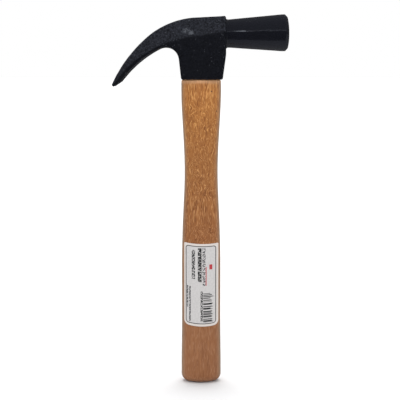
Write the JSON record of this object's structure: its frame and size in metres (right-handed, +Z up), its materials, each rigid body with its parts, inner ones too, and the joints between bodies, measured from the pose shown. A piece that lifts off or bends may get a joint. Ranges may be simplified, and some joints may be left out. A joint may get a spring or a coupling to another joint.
{
  "type": "claw hammer",
  "caption": "Curved-claw hammer: black painted cast head with a flared striking end, wedged onto a varnished oval hardwood handle with a paper label.",
  "frame": {"origin": "centre of the flat end of the handle's butt", "axes": "+Z up the handle to the head, +X to the striking face, -X to the claw, the label faces -Y"},
  "size_m": [0.1306, 0.027, 0.2753],
  "materials": {
    "head_paint": "black semi-gloss paint over a rough casting",
    "handle_wood": "reddish-brown hardwood, satin varnish",
    "wedge_wood": "bare sawn wood",
    "wedge_steel": "bare steel",
    "label_paper": null
  },
  "bodies": {
    "root": {"head": "head_paint", "handle": "handle_wood", "wood_wedge": "wedge_wood", "steel_wedge_claw_side": "wedge_steel", "steel_wedge_face_side": "wedge_steel", "label": "label_paper"}
  },
  "joints": []
}
